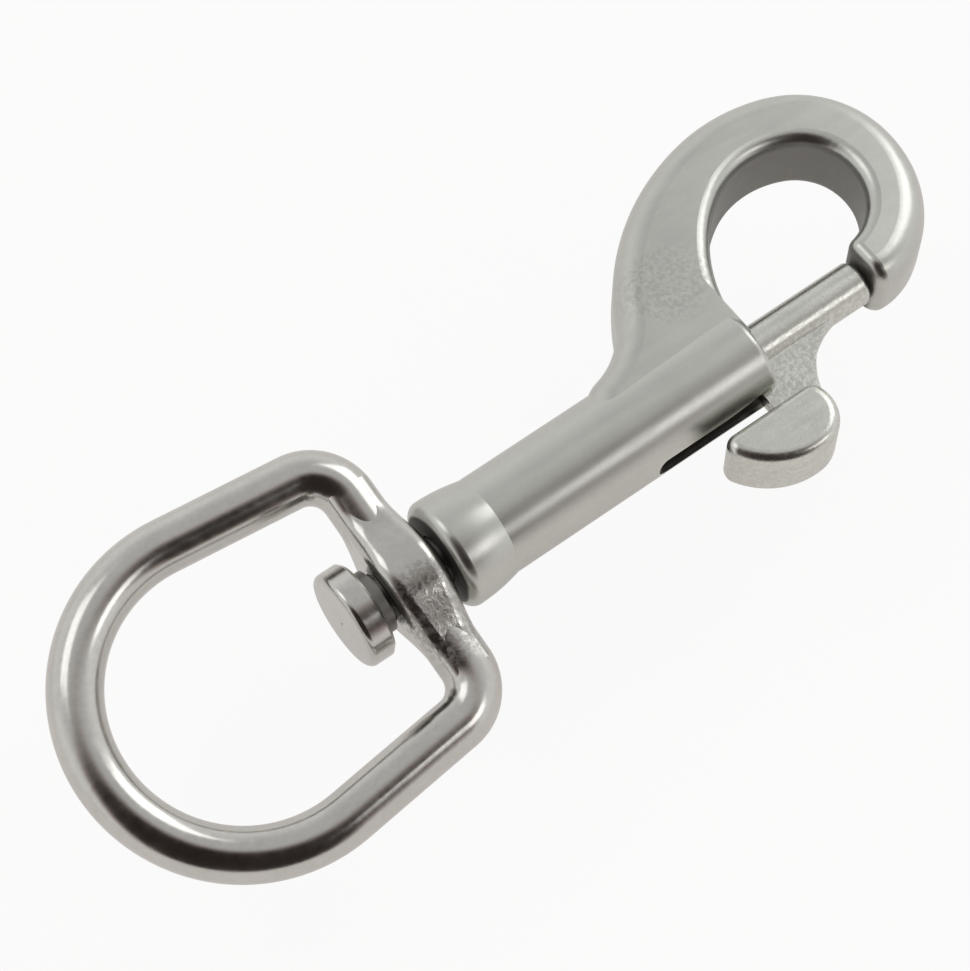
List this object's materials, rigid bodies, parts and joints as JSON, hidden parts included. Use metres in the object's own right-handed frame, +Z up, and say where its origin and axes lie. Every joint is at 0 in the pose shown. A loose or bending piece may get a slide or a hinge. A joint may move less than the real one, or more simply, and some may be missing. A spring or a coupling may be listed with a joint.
{
  "type": "swivel snap hook",
  "caption": "Stainless snap hook with a sprung sliding bolt worked by a half-moon thumb pad, and a D-shaped swivel eye on a headed pin.",
  "frame": {"origin": "under the middle of the hook as it lies on its side, on the surface it lies on", "axes": "+X along the barrel from the eye to the hook's tip, +Y towards the hook's back, +Z up"},
  "size_m": [0.1118, 0.0427, 0.0147],
  "materials": {
    "hook_body": "tumbled satin polish",
    "bolt": "cast skin on the rod and web, polished pad",
    "swivel_pin": "turned and polished",
    "swivel_eye": "bright polish with darker streaks",
    "spring": "plain spring wire"
  },
  "bodies": {
    "hook": {"hook_body": "hook_body", "swivel_pin": "swivel_pin", "spring": "spring"},
    "bolt": {"bolt": "bolt"},
    "eye": {"swivel_eye": "swivel_eye"}
  },
  "joints": [
    {"name": "swivel", "type": "hinge", "parent": "hook", "child": "eye", "pos_m": [-0.01682, -0.00284, 0.00734], "axis": [1, 0, 0], "continuous": true},
    {"name": "bolt_slide", "type": "slide", "parent": "hook", "child": "bolt", "axis": [1, 0, 0], "range_m": [-0.013, 0], "stiffness_N_per_m": 400, "springref_m": 0.006, "deforming": ["spring"]}
  ]
}
